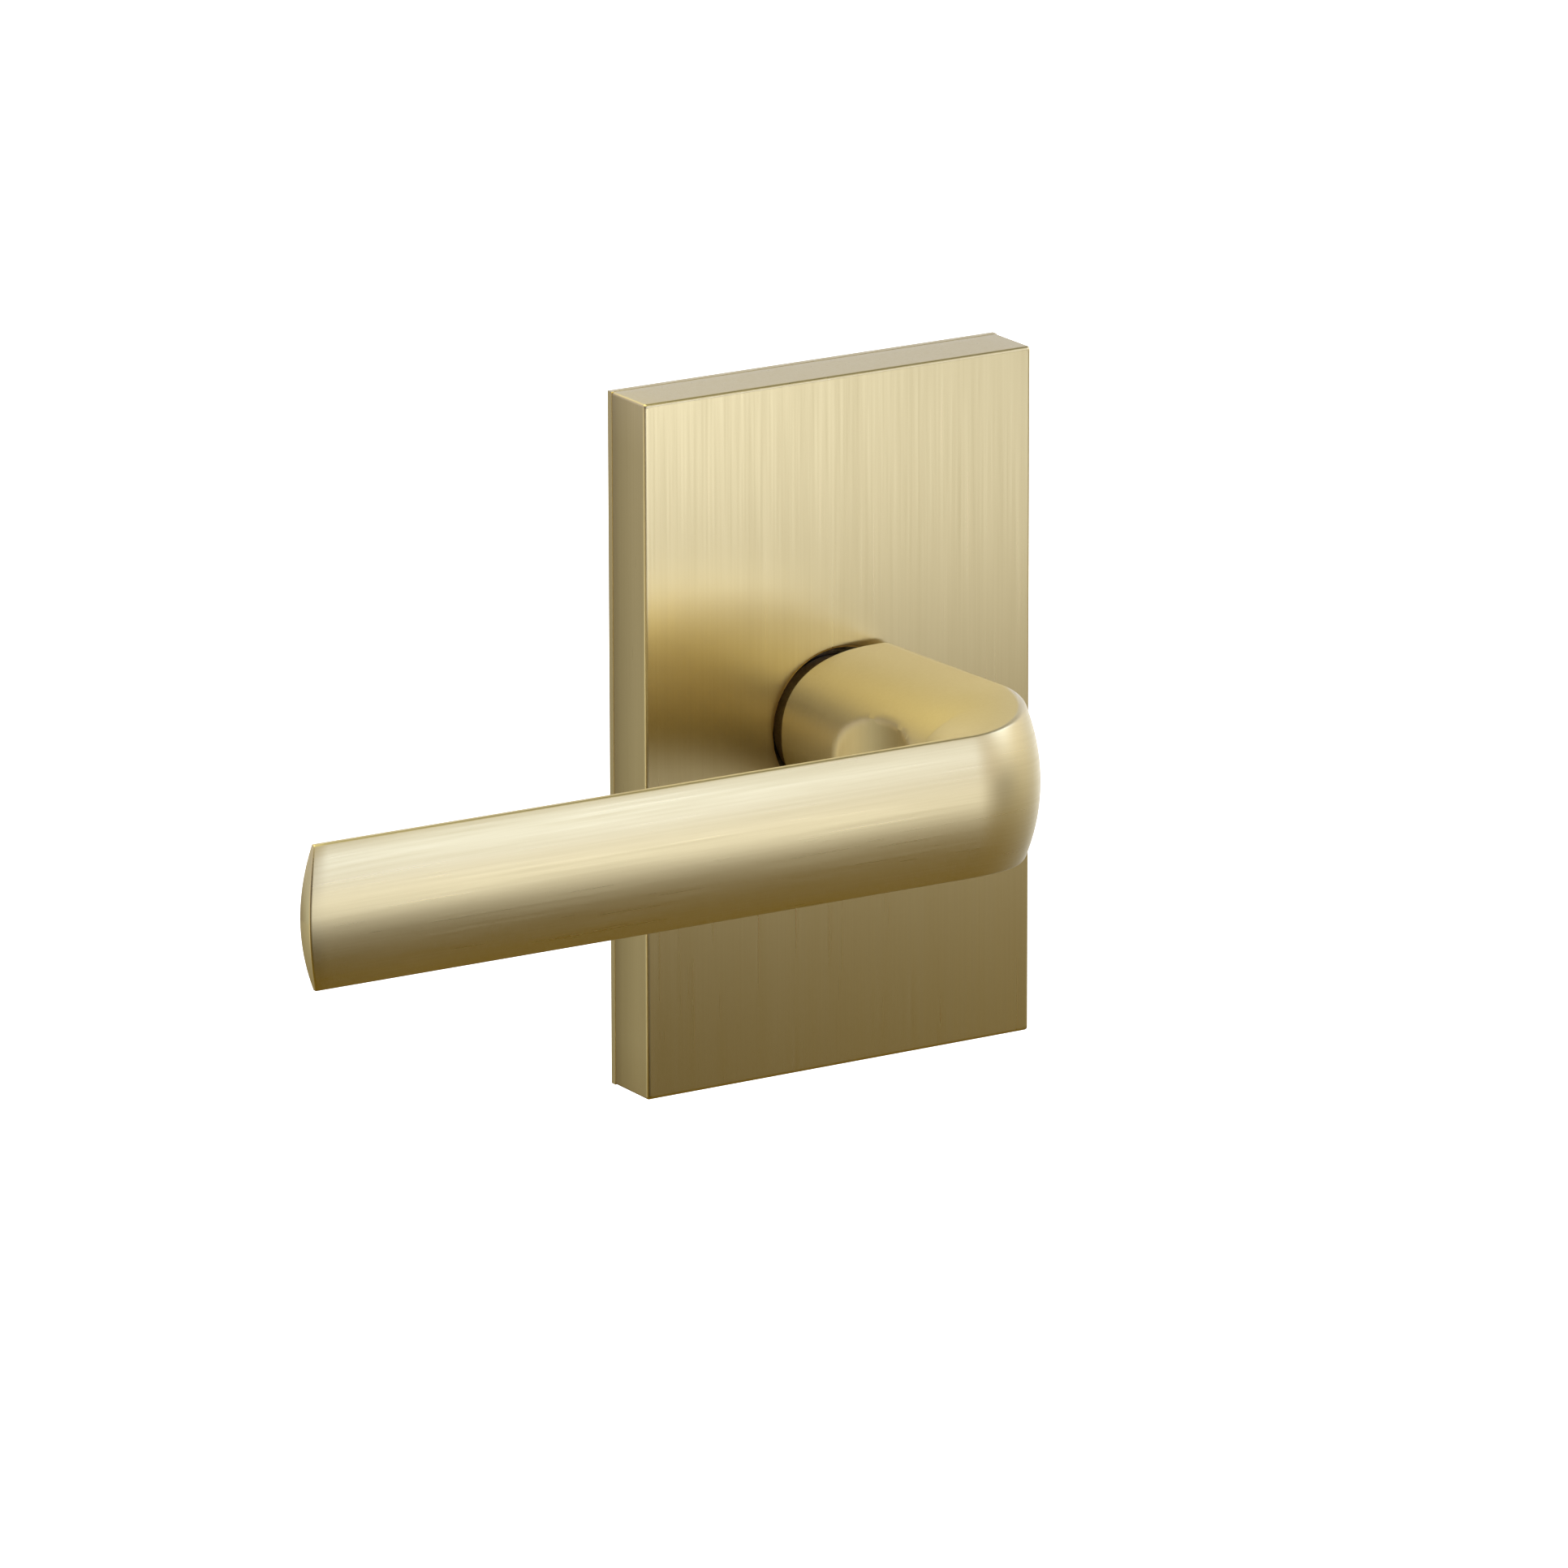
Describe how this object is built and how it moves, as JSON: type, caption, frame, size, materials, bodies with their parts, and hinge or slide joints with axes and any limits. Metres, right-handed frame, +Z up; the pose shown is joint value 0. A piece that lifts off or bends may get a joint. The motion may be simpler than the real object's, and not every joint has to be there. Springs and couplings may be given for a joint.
{
  "type": "lever handle lockset",
  "caption": "Outside half of a passage lever set: flat crowned lever on a round neck, tall rectangular rose, sprung chassis, square spindle and posts for through bolts.",
  "frame": {"origin": "where the lever's axis meets the door face, at the centre of the mounting plate's back", "axes": "+Y into the door along the lever's axis, -Y towards the hand, +Z up, grip pointing to -X"},
  "size_m": [0.1441, 0.1023, 0.1006],
  "materials": {
    "satin_brass": "satin, brushed upright",
    "satin_brass_lever": "satin, brushed along the lever",
    "plated_steel": "zinc plated",
    "spring_steel": "oiled spring steel",
    "cast_zinc": "raw die-cast zinc",
    "bronze": "sintered bronze",
    "nylon": "natural nylon"
  },
  "bodies": {
    "chassis": {"rose_cover": "satin_brass", "mounting_plate": "satin_brass", "cover_clips": "spring_steel", "clip_rivets": "plated_steel", "spring_housing": "cast_zinc", "housing_screws": "plated_steel", "housing_lid": "plated_steel", "lid_screws": "plated_steel", "neck_bush": "nylon", "rear_bush": "bronze", "wave_washer": "spring_steel", "return_spring": "spring_steel", "post_upper": "plated_steel", "post_lower": "plated_steel", "post_screws": "plated_steel"},
    "lever": {"lever_handle": "satin_brass_lever", "drive_hub": "plated_steel", "thrust_washer": "bronze", "retaining_ring": "spring_steel", "spindle": "plated_steel", "spindle_pin": "spring_steel", "catch_spring": "spring_steel"},
    "catch": {"lever_catch": "plated_steel"}
  },
  "joints": [
    {"name": "lever_turn", "type": "hinge", "parent": "chassis", "child": "lever", "pos_m": [0, 0, 0], "axis": [0, 1, 0], "range_deg": [-45, 45], "stiffness_Nm_per_rad": 2, "springref_deg": 0.69, "deforming": ["return_spring"]},
    {"name": "catch_press", "type": "slide", "parent": "lever", "child": "catch", "axis": [0, 0, 1], "range_m": [0, 0.0022], "stiffness_N_per_m": 400, "springref_m": -0.002, "deforming": ["catch_spring"]}
  ]
}
